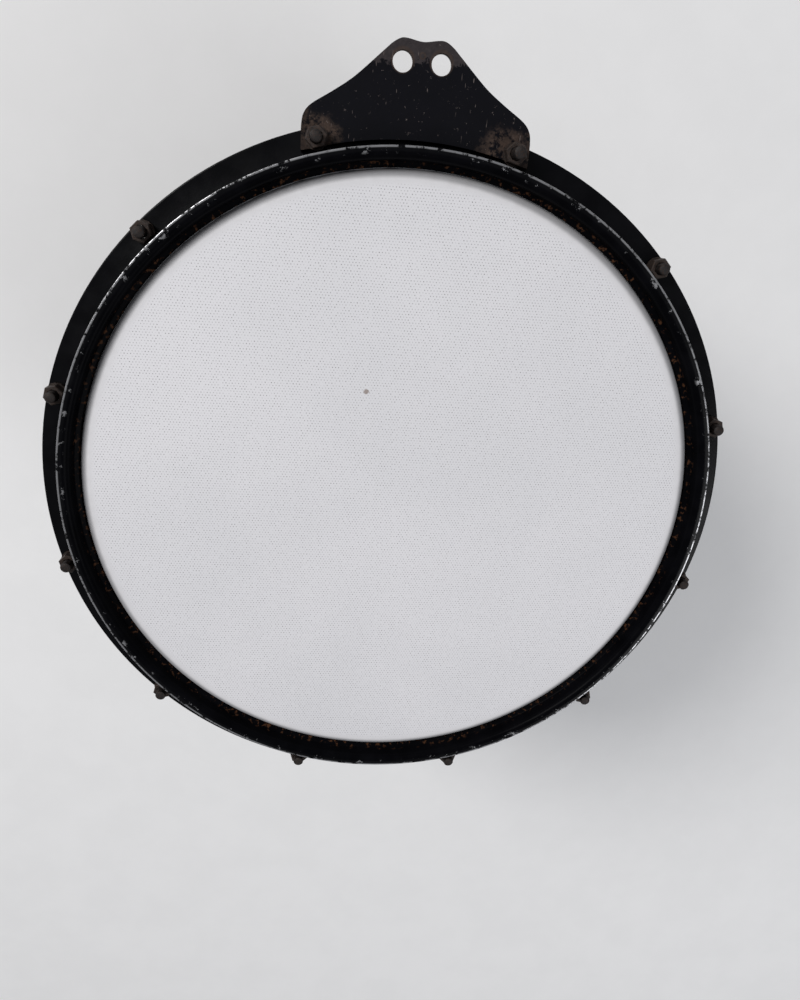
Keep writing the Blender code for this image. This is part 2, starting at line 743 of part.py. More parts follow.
def cam_centre():
    return (PIVOT_R + THROW / 2, PIVOT_Z + THROW / 2)


def strainer_carriage(look):
    """The jaw for the snares' end bar, the plate that slides in the rails and the cam's yoke."""
    cavity = BAR_LENGTH + 2 * RUNNING_GAP
    outline, outer = jaw_outline(STRAINER_JAW_R, cavity)
    made = new_object("strainer_carriage", prism(outline, -JAW_HALF, JAW_HALF, "y"), look)
    half = JAW_HEIGHT / 2
    width = CARRIAGE_WIDTH / 2
    web_in = outer - JAW_WALL / 2
    low, high = STRAND_Z - half, STRAND_Z + half
    cam = cam_centre()
    opening = CAM_RADIUS + GAP
    top = cam[1] + opening + YOKE_BAR
    plate = [(web_in, low), (CARRIAGE_OUT_R, low), (CARRIAGE_OUT_R, top)]
    plate += [(CARRIAGE_IN_R, top), (CARRIAGE_IN_R, high), (web_in, high)]
    combine(made, prism(plate, -width, width, "y"), "UNION")
    reach = (CARRIAGE_OUT_R - CARRIAGE_THICKNESS / 2, CARRIAGE_OUT_R + YOKE_REACH)
    across = (-YOKE_WIDTH / 2, YOKE_WIDTH / 2)
    bars = [block(reach, across, (cam[1] + opening, top))]
    bars.append(block(reach, across, (cam[1] - opening - YOKE_BAR, cam[1] - opening)))
    combine(made, merged(bars), "UNION")
    seat(made, (CARRIAGE_IN_R, 0, STRAND_Z), math.pi)


def throw_off_lever(look):
    """A fork astride the yoke, with the eccentric cam between its arms and a handle above."""
    inner = YOKE_WIDTH / 2 + RUNNING_GAP
    outer = inner + LEVER_ARM
    x, z = PIVOT_R, PIVOT_Z
    arm = arc((x, z), LEVER_HUB, 180, 360, 6)
    arm += [(x + LEVER_HUB, z + LEVER_FORK), (x - LEVER_HUB, z + LEVER_FORK)]
    made = new_object("throw_off_lever", prism(arm, -outer, outer, "y"), look)
    slot = block(
        (x - CAM_RADIUS * 3, x + CAM_RADIUS * 3),
        (-inner, inner),
        (z - CAM_RADIUS * 3, z + LEVER_FORK - LEVER_THICKNESS / 2),
    )
    combine(made, slot, "DIFFERENCE")
    cam = cam_centre()
    ends = ((cam[0], -inner - LEVER_ARM / 2, cam[1]), (cam[0], inner + LEVER_ARM / 2, cam[1]))
    combine(made, rod(CAM_RADIUS, ends[0], ends[1], CAM_SIDES), "UNION")
    base = x - LEVER_HUB
    tip = base + LEVER_TIP_OUT
    fork = z + LEVER_FORK - LEVER_THICKNESS / 4
    end = z + LEVER_LENGTH
    handle = [
        (base, fork),
        (base + LEVER_THICKNESS * 1.4, fork),
        (base + LEVER_THICKNESS, (fork + end) / 2),
        (tip + LEVER_THICKNESS, end - LEVER_THICKNESS / 2),
        (tip + LEVER_THICKNESS / 2, end),
        (tip, end - LEVER_THICKNESS / 2),
        (base, (fork + end) / 2),
    ]
    combine(made, prism(handle, -outer, outer, "y"), "UNION")
    combine(made, pin_bore(outer), "DIFFERENCE")
    seat(made, (x, 0, z), math.pi)


# Butt plate


def butt_base(look):
    """A bracket on the shell whose front plate hangs down outside the snare hoop."""
    clamp_back = butt_clamp_back()
    plate_in = clamp_back + BRACKET_GAP
    front = plate_in + BRACKET_THICKNESS
    outline = base_outline(front, False)
    made = new_object("butt_base", prism(outline, BASE_BOTTOM, BASE_TOP, "z"), look)
    width = BRACKET_WIDTH / 2
    plate = block((plate_in, front), (-width, width), (FLOOR + BRACKET_TO_FLOOR, BASE_BOTTOM + BASE_HEIGHT / 2))
    combine(made, plate, "UNION")
    ends = ((plate_in - BRACKET_THICKNESS, 0, STRAND_Z), (front + BRACKET_THICKNESS, 0, STRAND_Z))
    combine(made, rod(CLAMP_STUD_RADIUS + SCREW_FIT, ends[0], ends[1], WASHER_SIDES), "DIFFERENCE")
    screw_holes(made)
    seat(made, (SHELL_R + GAP, 0, BASE_BOTTOM))


def butt_cavity():
    return BAR_LENGTH + 2 * RUNNING_GAP + CLAMP_TRAVEL


def butt_clamp_back():
    return BUTT_JAW_R + JAW_LIP + butt_cavity() + JAW_WALL


def knob_face():
    return butt_clamp_back() + BRACKET_GAP + BRACKET_THICKNESS + GAP


def butt_clamp(look):
    """The other jaw, drawn outwards by a threaded stud."""
    outline, outer = jaw_outline(BUTT_JAW_R, butt_cavity())
    made = new_object("butt_clamp", prism(outline, -JAW_HALF, JAW_HALF, "y"), look)
    end = knob_face() + KNOB_LENGTH + CLAMP_STUD_PROUD
    start = outer - JAW_WALL / 2
    stud = rod(CLAMP_STUD_RADIUS, (start, 0, STRAND_Z), (end, 0, STRAND_Z), WASHER_SIDES)
    combine(made, stud, "UNION")
    seat(made, (outer, 0, STRAND_Z))


def tension_knob(look):
    """A fluted thumb nut that bears on the bracket."""
    outline = []
    for flute in range(2 * KNOB_FLUTES):
        radius = KNOB_RADIUS - KNOB_FLUTE_DEPTH * (flute % 2)
        angle = math.pi * flute / KNOB_FLUTES
        outline.append((radius * math.cos(angle), STRAND_Z + radius * math.sin(angle)))
    face = knob_face()
    made = new_object("tension_knob", prism(outline, face, face + KNOB_LENGTH, "x"), look)
    ends = ((face - KNOB_LENGTH, 0, STRAND_Z), (face + 2 * KNOB_LENGTH, 0, STRAND_Z))
    combine(made, rod(CLAMP_STUD_RADIUS + SCREW_FIT, ends[0], ends[1], WASHER_SIDES), "DIFFERENCE")
    seat(made, (face, 0, STRAND_Z))


def build():
    clear_scene()
    black = material("satin_black_aluminium", (0.012, 0.012, 0.014), 0.38, 0.2)
    looks = {
        "post": material("black_post", (0.014, 0.014, 0.016), 0.35, 0.3),
        "nut": material("rusted_steel_nut", (0.10, 0.07, 0.055), 0.6, 0.7),
        "bolt": material("zinc_bolt", (0.45, 0.45, 0.44), 0.4, 0.9),
    }
    aluminium = material("bare_aluminium", (0.60, 0.61, 0.63), 0.35, 1.0)
    steel = material("plated_steel", (0.55, 0.55, 0.56), 0.25, 1.0)
    shell(material("black_lacquer", (0.010, 0.010, 0.011), 0.22), material("brass", (0.60, 0.42, 0.16), 0.3, 1.0))
    head("batter_head", BATTER_FILM, at_batter, material("white_woven_film", (0.60, 0.58, 0.62), 0.6))
    head("snare_head", SNARE_FILM, at_snare, material("hazy_clear_film", (0.70, 0.71, 0.70), 0.3))
    flesh_hoop("batter_flesh_hoop", at_batter, aluminium)
    flesh_hoop("snare_flesh_hoop", at_snare, aluminium)
    hoop("batter_hoop", BATTER_RIM, at_batter, black)
    cut_snare_gates(hoop("snare_hoop", SNARE_RIM, at_snare, black))
    fasteners(looks)
    sling_plate(material("worn_black_steel", (0.016, 0.016, 0.019), 0.5, 0.4))
    snare_strands(material("gut_strand", (0.62, 0.52, 0.34), 0.5))
    strainer_base(black)
    lever_pin(steel)
    strainer_carriage(steel)
    throw_off_lever(steel)
    butt_base(black)
    butt_clamp(steel)
    tension_knob(steel)


build()
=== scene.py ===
"""Looks of a worn 14 inch marching snare drum, on a plain pale floor, seen from above its head."""

import math

import bmesh
import bpy
from mathutils import Matrix, Vector


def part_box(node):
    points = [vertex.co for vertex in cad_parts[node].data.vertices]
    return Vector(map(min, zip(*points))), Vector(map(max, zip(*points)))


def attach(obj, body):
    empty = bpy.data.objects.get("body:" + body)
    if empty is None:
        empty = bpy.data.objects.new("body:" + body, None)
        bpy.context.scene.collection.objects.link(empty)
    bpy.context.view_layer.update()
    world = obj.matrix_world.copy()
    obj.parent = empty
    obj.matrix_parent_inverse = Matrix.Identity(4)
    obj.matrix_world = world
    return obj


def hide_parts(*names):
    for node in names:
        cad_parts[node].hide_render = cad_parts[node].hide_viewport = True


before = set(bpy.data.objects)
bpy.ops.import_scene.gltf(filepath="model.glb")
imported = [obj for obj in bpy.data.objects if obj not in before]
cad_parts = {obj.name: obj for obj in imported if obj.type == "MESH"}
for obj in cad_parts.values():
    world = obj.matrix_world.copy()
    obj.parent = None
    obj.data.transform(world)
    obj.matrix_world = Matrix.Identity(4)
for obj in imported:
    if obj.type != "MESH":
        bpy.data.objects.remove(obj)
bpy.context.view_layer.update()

# Camera, fitted to the rim's circles in the photograph's frame
CAMERA_PLACE = Vector((-0.0392, 0.1533, 0.4151))
CAMERA_FORWARD = Vector((0.0983, -0.3474, -0.9326))
CAMERA_UP = Vector((-0.0382, 0.9351, -0.3524))
FOCAL_LENGTH = 27.07
SENSOR_WIDTH = 36.0
CLIP_START = 0.01

# Places on the drum, from the frame
PLATE_LOW, PLATE_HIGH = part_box("sling_plate")
RIM_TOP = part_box("batter_hoop")[1].z
RIM_RADIUS = 0.1887
HEAD_RADIUS = 0.1726

# Floor, a hair below the snare hoop's lip so that the two never share a plane
FLOOR_GAP = 0.0003
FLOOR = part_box("snare_hoop")[0].z - FLOOR_GAP
FLOOR_HALF = 6.0

# Weave of the head
DOT_PITCH = 0.0017
DOT_ROW_RATIO = 1.732
DOT_RADIUS = 0.00030
DOT_GREY = (0.16, 0.15, 0.15)
FILM_WHITES = ((0.755, 0.75, 0.77), (0.80, 0.79, 0.81))
SPECK_PLACE = (-0.0189, 0.0625)
SPECK_BAND = (0.0027, 0.0017)
SPECK_RAGGED = 0.0016
SPECK_BROWN = (0.20, 0.13, 0.09)

# Bands of the head, as radii between which each one sets in: where the dots end, a painted shade next to
# the rim and a painted shade on the collar
WEAVE_BAND = (HEAD_RADIUS, HEAD_RADIUS - 0.004)
# Painted shade, mottled and brownish, on the film next to the rim
FILM_EDGE_SHADE_BAND = (HEAD_RADIUS - 0.004, HEAD_RADIUS + 0.005)
FILM_EDGE_SHADE_BROWN = (0.30, 0.27, 0.25)
# Painted grey shade on the collar, where it slopes down under the rim
COLLAR_SHADE_BAND = (HEAD_RADIUS + 0.0006, HEAD_RADIUS + 0.0032)
COLLAR_SHADE_GREY = (0.26, 0.26, 0.27)

# Black finish and its wear: radii and heights between which each kind sets in
BLACKS = ((0.0016, 0.0016, 0.0022), (0.0034, 0.0034, 0.0044))
BARE_METAL = (0.46, 0.46, 0.47)
BLACK_GLOSS = 0.09
FAINT_CHIPS = 0.0875
EDGE_BAND = (RIM_RADIUS - 0.0013, RIM_RADIUS - 0.0005)
LAND_BAND = (RIM_RADIUS - 0.0045, RIM_RADIUS - 0.002)
CROWN_BAND = (RIM_TOP - 0.0011, RIM_TOP - 0.0005)
RUST_HEIGHTS = (0.0008, -0.0035)
RUST_RADII = (0.1835, 0.1815)
RUST_BROWN = (0.10, 0.045, 0.022)
DULL_RADII = (0.1866, 0.1852)
DULL_GLOSS = 0.015

# Wear of the sling plate: steel at its top, rust at its sides, bolts and holes, and a punched ring
WEAR_RAGGED = 0.018
STEEL_BAND = (PLATE_HIGH.y - 0.0112, PLATE_HIGH.y - 0.0104)
SIDE_BAND = (PLATE_HIGH.x - 0.0045, PLATE_HIGH.x - 0.0005)
BOLT_RUST = ((-0.0490, 0.1900, 0.0125), (0.0455, 0.1880, 0.0160))
HOLE_RUST_PLACE = (0.0097, PLATE_HIGH.y - 0.0102)
HOLE_RUST_BAND = (0.0063, 0.0055)
PUNCH_HEIGHT = PLATE_HIGH.y - 0.0078
PUNCH_RADIUS = 0.0013
PUNCH_BAND = (0.0006, 0.0002)
PLATE_PAINTS = ((0.0022, 0.0022, 0.0036), (0.0052, 0.0052, 0.0078))
PLATE_STEELS = ((0.024, 0.021, 0.024), (0.085, 0.072, 0.072))
PLATE_RUSTS = ((0.020, 0.014, 0.012), (0.115, 0.078, 0.060))
SCRATCH_COLOUR = (0.17, 0.14, 0.13)
SCRATCH_TURN = 0.35
SCRATCH_SCALE = (900.0, 130.0, 300.0)

# Fine rings that stand for the faceted ones: profiles as radius and height in millimetres
MM_PER_METRE = 1000
FINE_SIDES = 192
HOOP_INSIDE = [(179.0, -6.6), (179.0, -3.9), (179.5, -3.3), (181.4, -2.7), (181.8, -2.2)]
BEAD_CENTRE = (185.925, 2.9)
BEAD_RADIUS = 3.7
RIM_EDGE = (188.3, 6.2, 0.4)
HOOP_OUTSIDE = [(188.7, -8.3), (189.05, -9.15), (189.9, -9.5), (200.7, -9.5)]
FLANGE_EDGE = (200.7, -10.3, 0.8)
HOOP_UNDER = [(201.5, -13.9), (188.7, -13.9), (188.7, -16.9), (185.0, -16.9), (185.0, -6.6)]
FILM_FLAT = 172.6
FILM_SHOULDER = 6.0
FILM_THICKNESS = 0.8
FILM_SKIRT = 12.5

# Stud holes through the flange and the plate
BOLT_RADIUS = 0.196
BOLT_COUNT = 12
STUD_HOLE = 0.0036
FLANGE_MIDDLE = -0.0117
BORE_LENGTH = 0.012
BORE_SIDES = 32

# Right half of the sling plate's outline in millimetres, from the foot of its side to the middle
PLATE_HALF = [(58.6, 182.6), (58.7, 190.0), (58.6, 195.5), (57.6, 200.2), (54.0, 204.6), (44.3, 210.7)]
PLATE_HALF += [(36.0, 216.2), (29.8, 221.2), (18.2, 231.8), (15.0, 234.6), (11.2, 236.8), (7.6, 237.0)]
PLATE_MIDDLE = (0.0, 235.9)
PLATE_LOWER_RADIUS = 192.0
PLATE_BEVEL = 0.0005
PLATE_BOLTS = slice(2, 4)
SLING_HOLES = (9.7, 226.9, 5.0)
CURVE_STEPS = 5
LOWER_EDGE_STEPS = 24

# Threads on the studs, and how far each stud's tip stands over the playing face
THREAD_PITCH = 0.001
THREAD_RADIUS = 0.0031
THREAD_DEPTH = 0.0004
THREAD_FOOT = -0.0058
TIP_SHARE = 0.55
STUD_TIP = 0.0036
PLATE_STUD_TIPS = {2: 0.0105, 3: 0.0068}

# Screws of the strainer and the butt plate: a dome given as shares of its height and radius
SCREW_RADIUS = 0.0038
SCREW_HEIGHT = 0.0018
SCREW_SIDES = 24
SCREW_DOME = ((0.0, 1.0), (0.35, 0.97), (0.75, 0.72), (1.0, 0.38))
SCREW_SEAT = 0.1795
SCREW_MARGIN = 0.0038
SCREW_ROW = 1 / 5

# Angles in degrees over which an edge stays sharp
SHARP_ANGLE = 38
SCREW_SHARP_ANGLE = 40


class Graph:
    """A Principled material whose inputs are worked out from a point's place on the object."""

    def __init__(self, name):
        self.material = bpy.data.materials.new(name)
        self.material.use_nodes = True
        self.tree = self.material.node_tree
        self.shader = self.tree.nodes["Principled BSDF"]
        self.place = self.add("ShaderNodeTexCoord").outputs["Object"]
        split = self.add("ShaderNodeSeparateXYZ")
        self.tree.links.new(self.place, split.inputs[0])
        self.x, self.y, self.z = split.outputs

    def add(self, kind):
        return self.tree.nodes.new(kind)

    def feed(self, socket, value):
        if isinstance(value, bpy.types.NodeSocket):
            self.tree.links.new(value, socket)
        elif isinstance(value, tuple):
            socket.default_value = (*value, 1.0)
        else:
            socket.default_value = value

    def math(self, operation, *values):
        made = self.add("ShaderNodeMath")
        made.operation = operation
        for socket, value in zip(made.inputs, values):
            self.feed(socket, value)
        return made.outputs[0]

    def plus(self, first, second):
        return self.math("ADD", first, second)

    def less(self, first, second):
        return self.math("SUBTRACT", first, second)

    def times(self, first, second):
        return self.math("MULTIPLY", first, second)

    def most(self, first, second):
        return self.math("MAXIMUM", first, second)

    def step(self, value, low, high):
        """Rises smoothly from 0 at low to 1 at high. It falls where low is the greater."""
        made = self.add("ShaderNodeMapRange")
        made.interpolation_type = "SMOOTHSTEP"
        rising = low < high
        self.feed(made.inputs["Value"], value)
        made.inputs["From Min"].default_value = min(low, high)
        made.inputs["From Max"].default_value = max(low, high)
        made.inputs["To Min"].default_value = 0.0 if rising else 1.0
        made.inputs["To Max"].default_value = 1.0 if rising else 0.0
        return made.outputs[0]

    def noise(self, scale, detail=5.0, roughness=0.6):
        made = self.add("ShaderNodeTexNoise")
        self.tree.links.new(self.place, made.inputs["Vector"])
        made.inputs["Scale"].default_value = scale
        made.inputs["Detail"].default_value = detail
        made.inputs["Roughness"].default_value = roughness
        return made.outputs["Fac"]

    def streaks(self, scale, turn):
        """Noise with a scale of its own along each axis, turned about Z."""
        stretched = self.add("ShaderNodeMapping")
        self.tree.links.new(self.place, stretched.inputs["Vector"])
        stretched.inputs["Rotation"].default_value = (0.0, 0.0, turn)
        stretched.inputs["Scale"].default_value = scale
        made = self.add("ShaderNodeTexNoise")
        self.tree.links.new(stretched.outputs[0], made.inputs["Vector"])
        made.inputs["Scale"].default_value = 1.0
        return made.outputs["Fac"]

    def radius(self, x=0.0, y=0.0):
        """How far a point is from a vertical axis through x and y."""
        across = self.math("POWER", self.less(self.x, x), 2.0)
        along = self.math("POWER", self.less(self.y, y), 2.0)
        return self.math("SQRT", self.plus(across, along))

    def mix(self, share, first, second):
        """A colour between two, by a share from 0 to 1."""
        made = self.add("ShaderNodeMix")
        made.data_type = "RGBA"
        self.feed(made.inputs[0], share)
        self.feed(made.inputs[6], first)
        self.feed(made.inputs[7], second)
        return made.outputs[2]

    def blend(self, share, first, second):
        """A number between two, by a share from 0 to 1."""
        return self.math("MULTIPLY_ADD", share, second - first, first)

    def bump(self, height, distance, strength=1.0):
        made = self.add("ShaderNodeBump")
        made.inputs["Strength"].default_value = strength
        made.inputs["Distance"].default_value = distance
        self.feed(made.inputs["Height"], height)
        self.tree.links.new(made.outputs[0], self.shader.inputs["Normal"])

    def set(self, **values):
        for name, value in values.items():
            self.feed(self.shader.inputs[name.replace("_", " ")], value)


def dot_lattice(look):
    """1 in the middle of each dot of two interleaved lattices, and 0 between the dots."""
    dots = []
    for shift in (0.0, 0.5):
        parts = []
        for axis, pitch in ((look.x, DOT_PITCH), (look.y, DOT_PITCH * DOT_ROW_RATIO)):
            cell = look.math("FRACT", look.plus(look.math("DIVIDE", axis, pitch), shift + 100.0))
            parts.append(look.math("POWER", look.times(look.less(cell, 0.5), pitch), 2.0))
        reach = look.math("SQRT", look.plus(*parts))
        dots.append(look.step(reach, DOT_RADIUS * 1.6, DOT_RADIUS * 0.5))
    return look.most(*dots)


def woven_film():
    """White film with a faint lattice of dark dots, a painted shade where it meets the rim and on its
    collar, and one brown speck.
    """
    look = Graph("woven_film")
    dots = dot_lattice(look)
    uneven = look.step(look.noise(900.0, 2.0), 0.3, 0.7)
    shown = look.times(look.times(dots, uneven), look.step(look.radius(), *WEAVE_BAND))
    cloudy = look.step(look.noise(7.0, 3.0), 0.3, 0.7)
    colour = look.mix(look.times(shown, 0.80), look.mix(cloudy, *FILM_WHITES), DOT_GREY)
    # Painted shade next to the rim, mottled and brownish
    edge_shade = look.times(look.step(look.radius(), *FILM_EDGE_SHADE_BAND), look.noise(160.0))
    colour = look.mix(look.times(edge_shade, 0.5), colour, FILM_EDGE_SHADE_BROWN)
    # Painted grey shade on the collar
    collar = look.step(look.radius(), *COLLAR_SHADE_BAND)
    colour = look.mix(look.times(collar, 0.7), colour, COLLAR_SHADE_GREY)
    speck_reach = look.plus(look.radius(*SPECK_PLACE), look.times(look.noise(700.0), SPECK_RAGGED))
    speck = look.step(speck_reach, *SPECK_BAND)
    look.set(Base_Color=look.mix(look.times(speck, 0.7), colour, SPECK_BROWN))
    look.set(Roughness=look.blend(cloudy, 0.50, 0.62), Specular_IOR_Level=0.35)
    look.bump(look.less(look.noise(1400.0, 2.0), shown), 0.00008, 0.5)
    return look.material


def coat_in_black(look, tone, colour, metal, gloss):
    """Sets a black finish that shows bare metal by a share, and has a fine cast grain."""
    look.set(Base_Color=look.mix(metal, colour, BARE_METAL), Metallic=metal)
    look.set(Roughness=look.blend(tone, 0.24, 0.36), Specular_IOR_Level=gloss)
    look.bump(look.plus(look.noise(850.0), metal), 0.00010, 0.35)
    return look.material


def worn_black():
    """Satin black over cast metal, with faint chips."""
    look = Graph("worn_black")
    tone = look.step(look.noise(60.0), 0.3, 0.75)
    chips = look.step(look.noise(420.0, 6.0, 0.7), 0.64, 0.68)
    return coat_in_black(look, tone, look.mix(tone, *BLACKS), look.times(chips, FAINT_CHIPS), BLACK_GLOSS)


def worn_rim():
    """Satin black with a bright and chipped edge, a dull inner slope and specks of rust below it."""
    look = Graph("rim_black")
    radius = look.radius()
    tone = look.step(look.noise(60.0), 0.3, 0.75)
    crown = look.step(look.z, *CROWN_BAND)
    ragged = look.step(look.noise(240.0, 6.0, 0.7), 0.40, 0.52)
    edge = look.times(look.times(look.step(radius, *EDGE_BAND), crown), ragged)
    chips = look.step(look.noise(170.0, 6.0, 0.75), 0.60, 0.63)
    land = look.times(look.times(look.step(radius, *LAND_BAND), crown), 0.7)
    metal = look.most(edge, look.times(chips, land))
    slope = look.times(look.step(look.z, *RUST_HEIGHTS), look.step(radius, *RUST_RADII))
    rust = look.times(slope, look.step(look.noise(330.0), 0.55, 0.66))
    colour = look.mix(look.times(rust, 0.7), look.mix(tone, *BLACKS), RUST_BROWN)
    gloss = look.blend(look.step(radius, *DULL_RADII), BLACK_GLOSS, DULL_GLOSS)
    return coat_in_black(look, tone, colour, metal, gloss)


def rusted_steel(name, dark, bright):
    """Steel with brown rust in patches, darker in its hollows."""
    look = Graph(name)
    patches = look.step(look.noise(380.0, 6.0, 0.7), 0.35, 0.65)
    fine = look.noise(1500.0, 3.0)
    base = look.mix(patches, dark, bright)
    look.set(Base_Color=look.mix(look.step(fine, 0.45, 0.75), base, (0.050, 0.026, 0.016)))
    look.set(Metallic=look.blend(patches, 0.2, 0.7), Roughness=look.blend(fine, 0.45, 0.8))
    look.bump(look.plus(patches, fine), 0.00018, 0.6)
    return look.material


def plate_rust(look, ragged):
    """Share of rust on the plate: broken patches at its bolts and sides, and rings at its holes."""
    bolts = []
    for x, y, reach in BOLT_RUST:
        spot = look.plus(look.radius(x, y), look.times(ragged, 0.9))
        bolts.append(look.step(spot, reach, reach * 0.45))
    sides = look.step(look.plus(look.math("ABSOLUTE", look.x), ragged), *SIDE_BAND)
    patch = look.most(look.most(*bolts), look.times(sides, 0.6))
    broken = look.times(patch, look.step(look.noise(260.0, 6.0, 0.75), 0.42, 0.50))
    rims = []
    for way in (-1.0, 1.0):
        around = look.radius(way * HOLE_RUST_PLACE[0], HOLE_RUST_PLACE[1])
        rims.append(look.step(look.plus(around, look.times(ragged, 0.08)), *HOLE_RUST_BAND))
    from_ring = look.math("ABSOLUTE", look.less(look.radius(0.0, PUNCH_HEIGHT), PUNCH_RADIUS))
    marks = look.most(look.most(*rims), look.step(from_ring, *PUNCH_BAND))
    return look.times(look.most(broken, look.times(marks, 0.6)), 0.9)


def sling_plate_look():
    """Black paint, bare brown-grey steel over the lobes and rust at the bolts, holes and sides."""
    look = Graph("sling_plate_look")
    ragged = look.times(look.less(look.noise(210.0, 6.0, 0.75), 0.5), WEAR_RAGGED)
    bare = look.step(look.plus(look.y, ragged), *STEEL_BAND)
    rust = plate_rust(look, ragged)
    paint = look.mix(look.noise(90.0), *PLATE_PAINTS)
    steel = look.mix(look.noise(500.0), *PLATE_STEELS)
    colour = look.mix(look.times(bare, 0.85), paint, steel)
    colour = look.mix(rust, colour, look.mix(look.noise(700.0), *PLATE_RUSTS))
    chips = look.step(look.noise(520.0, 6.0, 0.7), 0.655, 0.675)
    scratches = look.step(look.streaks(SCRATCH_SCALE, SCRATCH_TURN), 0.70, 0.74)
    worn = look.most(chips, scratches)
    look.set(Base_Color=look.mix(look.times(worn, 0.7), colour, SCRATCH_COLOUR))
    look.set(Metallic=look.times(bare, 0.5), Specular_IOR_Level=0.12)
    look.set(Roughness=look.blend(look.most(bare, rust), 0.40, 0.72))
    look.bump(look.less(look.noise(600.0), chips), 0.00015, 0.5)
    return look.material


def plain(name, dark, bright, rough, metallic, grain, specular=0.4):
    """A finish that varies a little in tone and gloss, at one scale of grain."""
    look = Graph(name)
    tone = look.step(look.noise(grain), 0.3, 0.7)
    look.set(Base_Color=look.mix(tone, dark, bright), Metallic=metallic, Specular_IOR_Level=specular)
    look.set(Roughness=look.blend(tone, rough, rough + 0.14))
    look.bump(look.noise(grain * 8.0, 3.0), 0.00006, 0.3)
    return look.material


def lacquer():
    """Black lacquer with a thin clear coat that varies a little in tone and gloss."""
    look = Graph("black_lacquer")
    tone = look.step(look.noise(45.0), 0.35, 0.7)
    look.set(Base_Color=look.mix(tone, (0.004, 0.004, 0.005), (0.008, 0.008, 0.010)), Coat_Weight=0.12)
    look.set(Roughness=look.blend(tone, 0.26, 0.38), Coat_Roughness=0.12, Specular_IOR_Level=0.16)
    look.bump(look.noise(240.0, 3.0), 0.00005, 0.3)
    return look.material


def add_object(name, data):
    made = bpy.data.objects.new(name, data)
    bpy.context.scene.collection.objects.link(made)
    return made


def to_mesh(name, shape):
    mesh = bpy.data.meshes.new(name)
    shape.to_mesh(mesh)
    shape.free()
    return mesh


def finish_surface(mesh, look, sharp_angle=None):
    """Gives a mesh its look and smooth shading, with sharp edges where an angle is given."""
    mesh.materials.append(look)
    mesh.shade_smooth()
    if sharp_angle is not None:
        mesh.set_sharp_from_angle(angle=math.radians(sharp_angle))


def in_metres(points):
    return [(first / MM_PER_METRE, second / MM_PER_METRE) for first, second in points]


def arc(centre, radius, start, end, steps):
    """Points on an arc between two angles in degrees, both ends included."""
    turns = [math.radians(start + (end - start) * step / steps) for step in range(steps + 1)]
    return [(centre[0] + radius * math.cos(a), centre[1] + radius * math.sin(a)) for a in turns]


def smooth_curve(points, steps):
    """Points along a Catmull-Rom curve that passes through every given point."""
    ends = [points[0], *points, points[-1]]
    made = []
    for index in range(len(points) - 1):
        a, b, c, d = (Vector(point) for point in ends[index : index + 4])
        for step in range(steps):
            t = step / steps
            bend = (2 * a - 5 * b + 4 * c - d) * t * t + (3 * b - a - 3 * c + d) * t**3
            made.append(tuple(0.5 * (2 * b + (c - a) * t + bend)))
    return made + [points[-1]]


def join_loops(shape, here, there):
    """Adds a band of four-sided faces between two loops of as many points."""
    for side in range(len(here)):
        after = (side + 1) % len(here)
        shape.faces.new((here[side], here[after], there[after], there[side]))


def turned(name, profile, sides, closed=False):
    """A mesh turned about Z from a profile of radii and heights in metres, capped unless closed."""
    shape = bmesh.new()
    turn = [2 * math.pi * side / sides for side in range(sides)]
    rings = []
    for radius, height in profile:
        points = [(radius * math.cos(a), radius * math.sin(a), height) for a in turn]
        rings.append([shape.verts.new(point) for point in points])
    for here, there in zip(rings, rings[1:]):
        join_loops(shape, here, there)
    if closed:
        join_loops(shape, rings[-1], rings[0])
    else:
        shape.faces.new(rings[0])
        shape.faces.new(rings[-1])
    bmesh.ops.recalc_face_normals(shape, faces=shape.faces)
    return to_mesh(name, shape)


def bolt_places():
    angles = [2 * math.pi * (index + 0.5) / BOLT_COUNT for index in range(BOLT_COUNT)]
    return [(BOLT_RADIUS * math.cos(angle), BOLT_RADIUS * math.sin(angle)) for angle in angles]


def stud_holes():
    return [(x, y, STUD_HOLE) for x, y in bolt_places()]


def bore(target, holes, height):
    """Cuts round holes, each given as x, y and radius, and keeps the result in the mesh."""
    shape = bmesh.new()
    for x, y, radius in holes:
        bmesh.ops.create_cone(
            shape,
            cap_ends=True,
            segments=BORE_SIDES,
            radius1=radius,
            radius2=radius,
            depth=BORE_LENGTH,
            matrix=Matrix.Translation((x, y, height)),
        )
    tool = add_object("stud_holes", to_mesh("stud_holes", shape))
    cut = target.modifiers.new("Stud holes", "BOOLEAN")
    cut.operation = "DIFFERENCE"
    cut.solver = "EXACT"
    cut.object = tool
    graph = bpy.context.evaluated_depsgraph_get()
    cut_mesh = bpy.data.meshes.new_from_object(target.evaluated_get(graph))
    target.modifiers.clear()
    target.data = cut_mesh
    bpy.data.objects.remove(tool, do_unlink=True)


def stand_for(node, mesh, look, holes=(), height=0.0):
    """Puts a finer mesh in the place of a CAD node, with holes bored about a height if given."""
    finish_surface(mesh, look, SHARP_ANGLE)
    made = add_object(mesh.name, mesh)
    if holes:
        bore(made, holes, height)
    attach(made, "drum")
    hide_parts(node)


def fine_hoop(look):
    """The batter hoop: an inner wall, a round bead, a narrow crown and a flange with stud holes."""
    bead = arc(BEAD_CENTRE, BEAD_RADIUS, 180, 90, 8)
    edge = arc(RIM_EDGE[:2], RIM_EDGE[2], 90, 0, 3)
    flange = arc(FLANGE_EDGE[:2], FLANGE_EDGE[2], 90, 0, 4)[1:]
    profile = HOOP_INSIDE + bead + edge + HOOP_OUTSIDE + flange + HOOP_UNDER
    mesh = turned("batter_hoop_fine", in_metres(profile), FINE_SIDES, closed=True)
    stand_for("batter_hoop", mesh, look, stud_holes(), FLANGE_MIDDLE)


